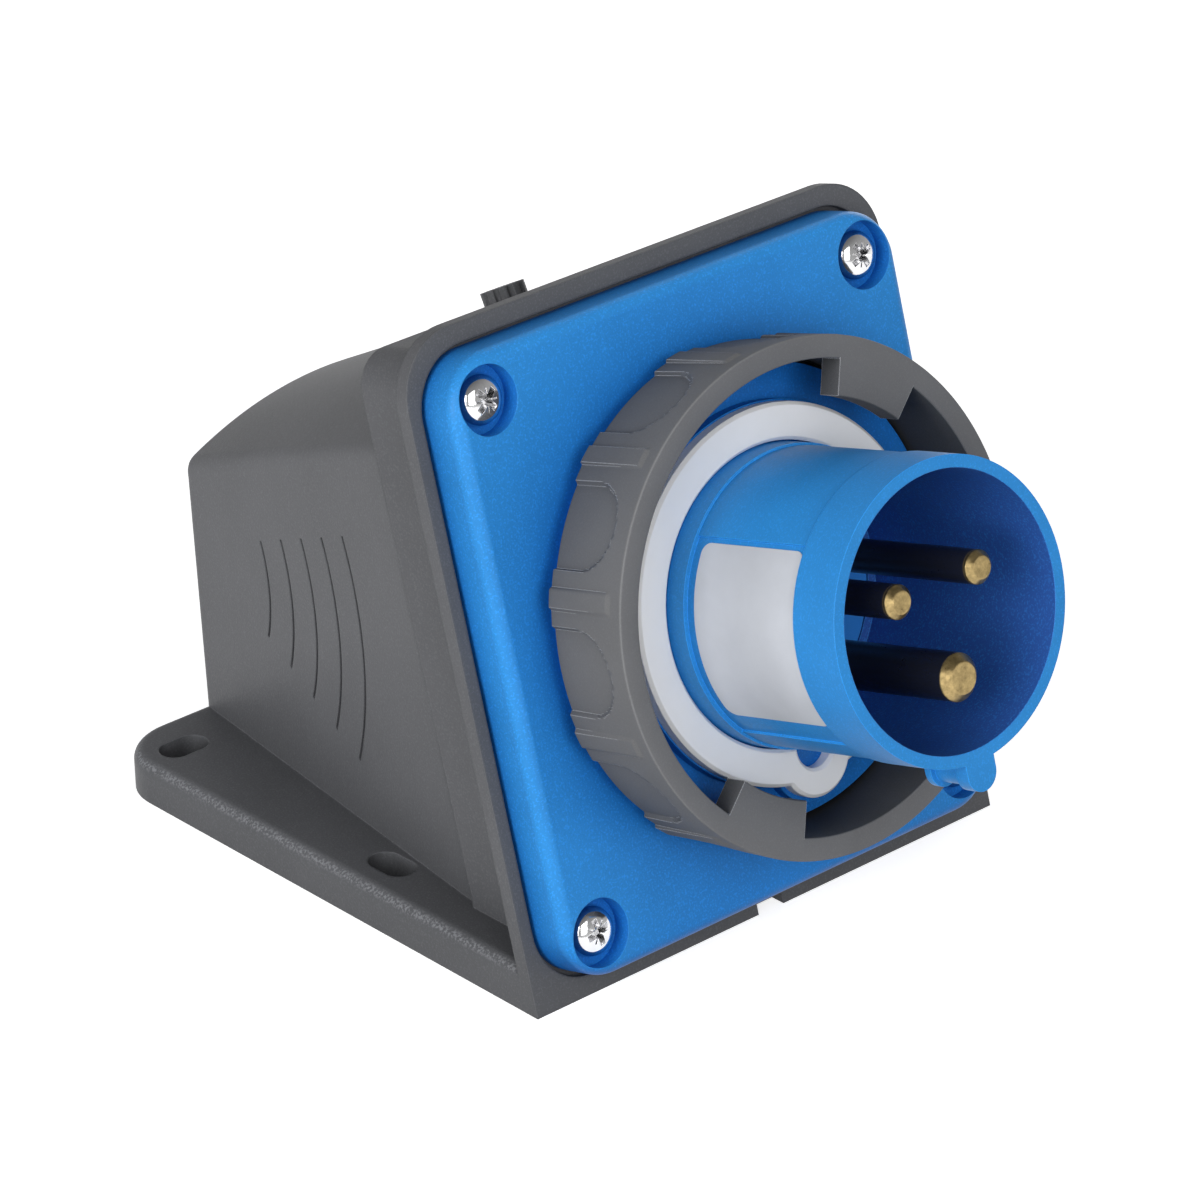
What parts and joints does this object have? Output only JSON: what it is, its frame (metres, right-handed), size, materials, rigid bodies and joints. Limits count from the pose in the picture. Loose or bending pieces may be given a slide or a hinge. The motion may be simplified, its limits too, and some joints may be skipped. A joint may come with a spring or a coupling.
{
  "type": "cee wall inlet",
  "caption": "Angled surface-mount pin-and-sleeve power inlet: wall box with inclined face plate, keyed shroud, contact pins, turning bayonet ring and rear cable gland.",
  "frame": {"origin": "centre of the wall plate's flat back face", "axes": "+Z away from the wall, -Y the side that the inclined face looks to, +X to the right seen from that side"},
  "size_m": [0.0922, 0.1607, 0.0968],
  "materials": {
    "housing_grey": "fine moulded texture, dark grey",
    "ring_grey": "satin moulding, dark grey",
    "flange_blue": "fine moulded texture, bright blue",
    "seal_white": "smooth white",
    "gasket_black": "matt black",
    "contact_brass": "bright drawn brass",
    "carrier_black": "matt black",
    "screw_plated": "bright plated",
    "label_silver": "satin foil, bare",
    "gland_grey": "satin moulding, dark grey"
  },
  "bodies": {
    "housing": {"housing": "housing_grey", "inlet_flange": "flange_blue", "shroud": "flange_blue", "face_gasket": "seal_white", "flange_gasket": "gasket_black", "earth_pin": "contact_brass", "line_pin": "contact_brass", "neutral_pin": "contact_brass", "terminal_screws": "screw_plated", "contact_carrier": "carrier_black", "carrier_screws": "screw_plated", "rating_label": "label_silver", "flange_screws": "screw_plated", "roof_plug": "housing_grey", "roof_plug_seal": "gasket_black", "gland_body": "gland_grey", "gland_washer": "gasket_black", "gland_locknut": "gland_grey", "gland_seal": "gasket_black", "gland_nut": "gland_grey"},
    "bayonet_ring": {"bayonet_ring": "ring_grey"}
  },
  "joints": [
    {"name": "ring_turn", "type": "hinge", "parent": "housing", "child": "bayonet_ring", "pos_m": [0, -0.05083, 0.05243], "axis": [0, 0.9634, -0.2681], "range_deg": [0, 45]}
  ]
}
